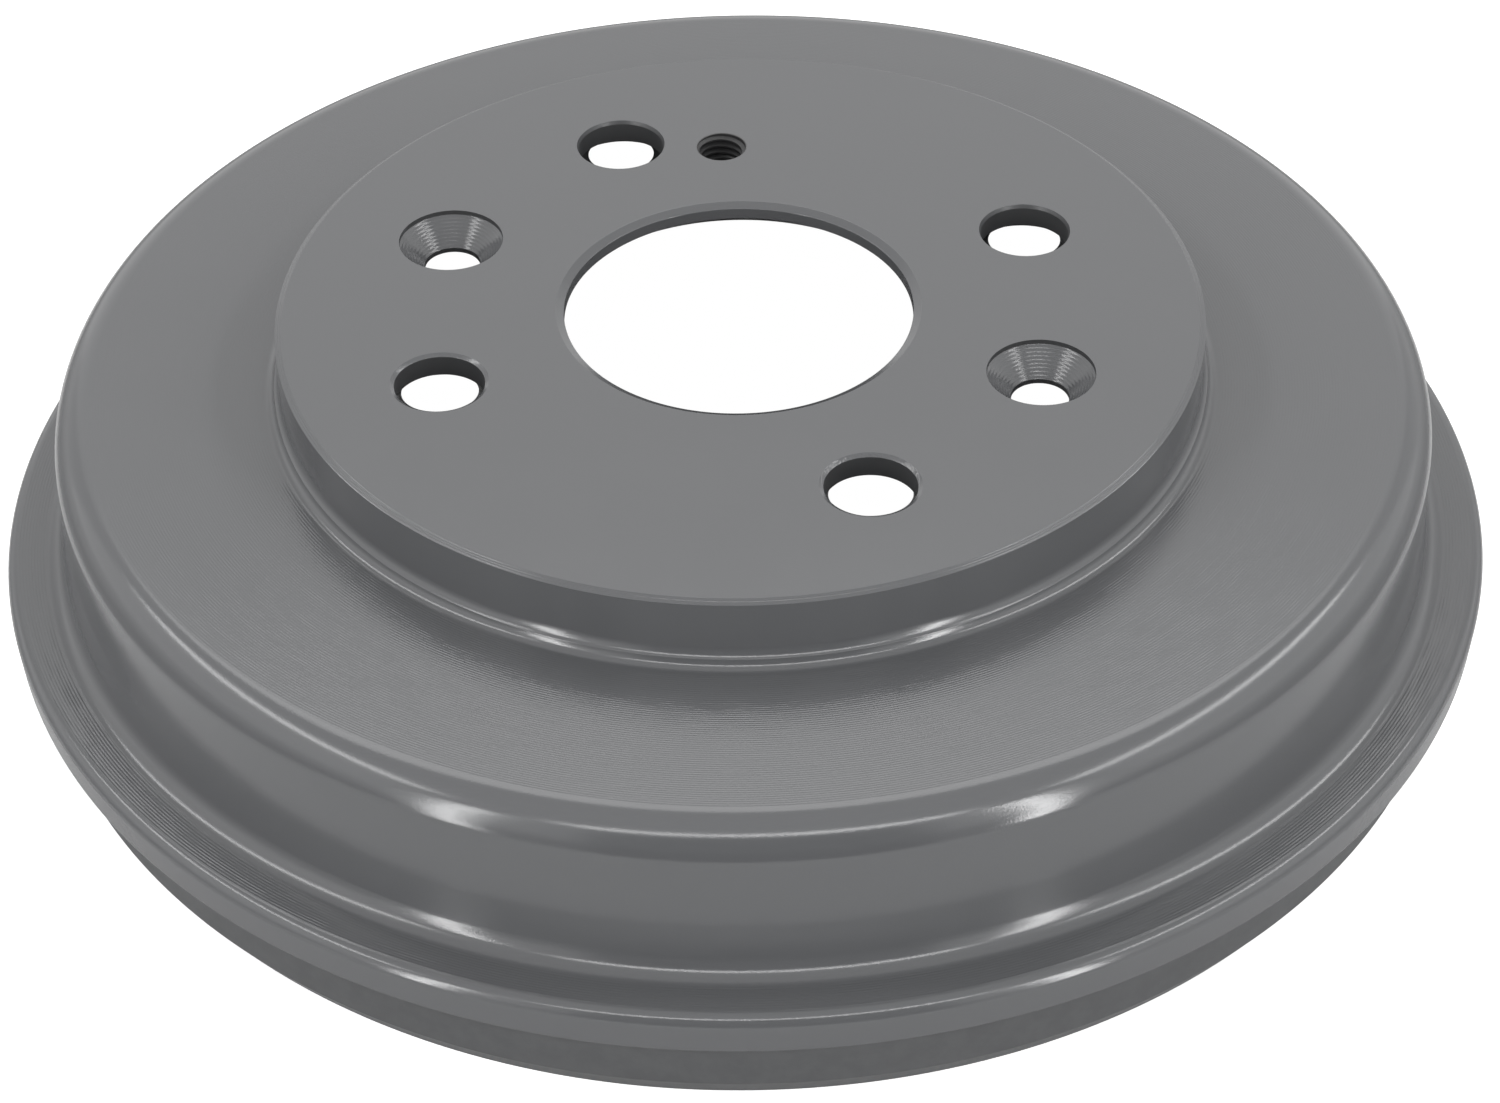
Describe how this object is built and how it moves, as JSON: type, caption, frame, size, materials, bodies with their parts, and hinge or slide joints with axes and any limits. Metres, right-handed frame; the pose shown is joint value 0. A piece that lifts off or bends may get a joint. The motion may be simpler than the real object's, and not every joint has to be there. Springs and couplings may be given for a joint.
{
  "type": "brake drum",
  "caption": "Cast brake drum with a raised hub plate, stud, screw and jacking holes, a rounded shoulder, a waisted wall and an outer flange, open on the back for the brake shoes.",
  "frame": {"origin": "centre of the open rim's plane, on the bore axis, where the drum rests", "axes": "+Z along the bore axis from the open rim towards the hub face that the wheel seats on; the wheel stud holes lie on the X and Y axes"},
  "size_m": [0.2386, 0.2386, 0.0595],
  "materials": {
    "drum_coating": "turned grey iron under a thin semi-gloss grey protective coating"
  },
  "bodies": {
    "root": {"brake_drum": "drum_coating"}
  },
  "joints": []
}
